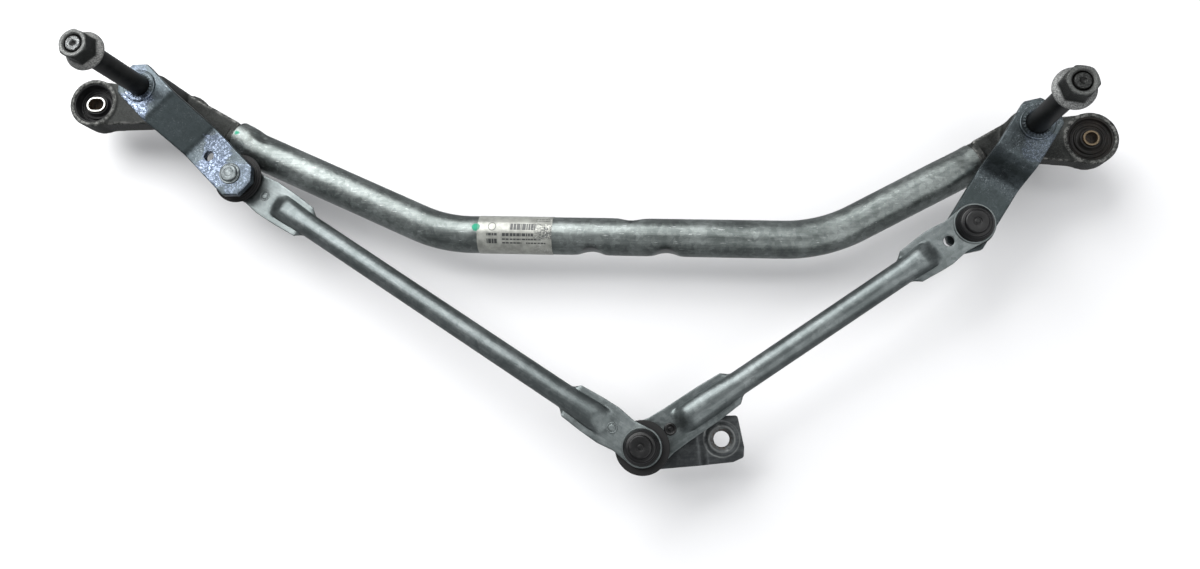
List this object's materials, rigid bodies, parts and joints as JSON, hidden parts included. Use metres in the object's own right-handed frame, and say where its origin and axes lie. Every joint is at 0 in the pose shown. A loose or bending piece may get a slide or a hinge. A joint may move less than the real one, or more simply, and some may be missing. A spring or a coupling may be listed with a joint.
{
  "type": "windshield wiper linkage",
  "caption": "Windshield wiper linkage: bent tube frame with rubber-mounted pivot housings, threaded wiper spindles, stepped levers, ball-jointed link rods and a crank arm.",
  "frame": {"origin": "centre of the round hole in the right mounting bush, half way along its sleeve", "axes": "+Z along both spindles towards their nuts, +X from the left spindle end towards the right mounting eye, +Y away from the crank"},
  "size_m": [0.6261, 0.229, 0.1281],
  "materials": {
    "galvanised_tube": "galvanised, satin",
    "label": "satin foil with printed grey bars",
    "die_cast_housing": "die-cast, dulled",
    "rubber": "matt moulded rubber",
    "sleeve_steel": "turned steel",
    "bearing_bronze": "sintered bronze",
    "washer_plastic": "natural acetal",
    "black_steel": "black coated steel",
    "phosphated_steel": "worn phosphated steel",
    "zinc_lever": "zinc-plated plate, mottled",
    "zinc_stud": "zinc-plated",
    "zinc_rod": "galvanised sheet",
    "black_plastic": "glass-filled nylon, satin",
    "crank_steel": "dark zinc-plated steel"
  },
  "bodies": {
    "frame": {"frame_tube": "galvanised_tube", "rating_label": "label", "left_pivot_housing": "die_cast_housing", "right_pivot_housing": "die_cast_housing", "left_mount_bush": "rubber", "right_mount_bush": "rubber", "left_bush_sleeve": "sleeve_steel", "right_bush_sleeve": "sleeve_steel", "left_spindle_bearings": "bearing_bronze", "right_spindle_bearings": "bearing_bronze", "left_shaft_seal": "rubber", "right_shaft_seal": "rubber", "left_thrust_washer": "washer_plastic", "right_thrust_washer": "washer_plastic"},
    "left_spindle": {"left_spindle": "black_steel", "left_lever": "zinc_lever", "left_spindle_nut": "phosphated_steel", "left_ball_stud": "zinc_stud", "left_circlip": "black_steel", "left_spring_washer": "zinc_stud"},
    "right_spindle": {"right_spindle": "black_steel", "right_lever": "zinc_lever", "right_spindle_nut": "phosphated_steel", "right_ball_stud": "zinc_stud", "right_circlip": "black_steel", "right_spring_washer": "zinc_stud"},
    "left_rod": {"left_rod": "zinc_rod", "left_rod_outer_socket": "black_plastic", "left_rod_centre_socket": "black_plastic", "left_rod_outer_seal": "rubber", "left_rod_centre_seal": "rubber"},
    "right_rod": {"right_rod": "zinc_rod", "right_rod_outer_socket": "black_plastic", "right_rod_centre_socket": "black_plastic", "right_rod_outer_seal": "rubber", "right_rod_centre_seal": "rubber", "right_rod_plug": "black_plastic"},
    "crank": {"crank_arm": "crank_steel", "double_ball_stud": "zinc_stud"}
  },
  "joints": [
    {"name": "left_spindle_turn", "type": "hinge", "parent": "frame", "child": "left_spindle", "pos_m": [-0.5464, 0.0174, 0], "axis": [0, 0, 1], "range_deg": [-42, 0]},
    {"name": "right_spindle_turn", "type": "hinge", "parent": "frame", "child": "right_spindle", "pos_m": [-0.0374, 0.0002, 0], "axis": [0, 0, 1], "range_deg": [-20, 0.5]},
    {"name": "left_rod_swivel", "type": "hinge", "parent": "left_spindle", "child": "left_rod", "pos_m": [-0.49608, -0.02952, 0.0075], "axis": [0, 0, 1], "range_deg": [-0.5, 52]},
    {"name": "right_rod_swivel", "type": "hinge", "parent": "right_spindle", "child": "right_rod", "pos_m": [-0.07027, -0.05495, 0.0255], "axis": [0, 0, 1], "range_deg": [-0.5, 18.2]},
    {"name": "crank_swivel", "type": "hinge", "parent": "left_rod", "child": "crank", "pos_m": [-0.2459, -0.18068, 0.024], "axis": [0, 0, 1], "continuous": true}
  ],
  "couplings": [
    {"joint": "right_spindle_turn", "follows": "left_spindle_turn", "ratio": 0.46},
    {"joint": "left_rod_swivel", "follows": "left_spindle_turn", "ratio": -1.227},
    {"joint": "right_rod_swivel", "follows": "left_spindle_turn", "ratio": -0.42}
  ]
}
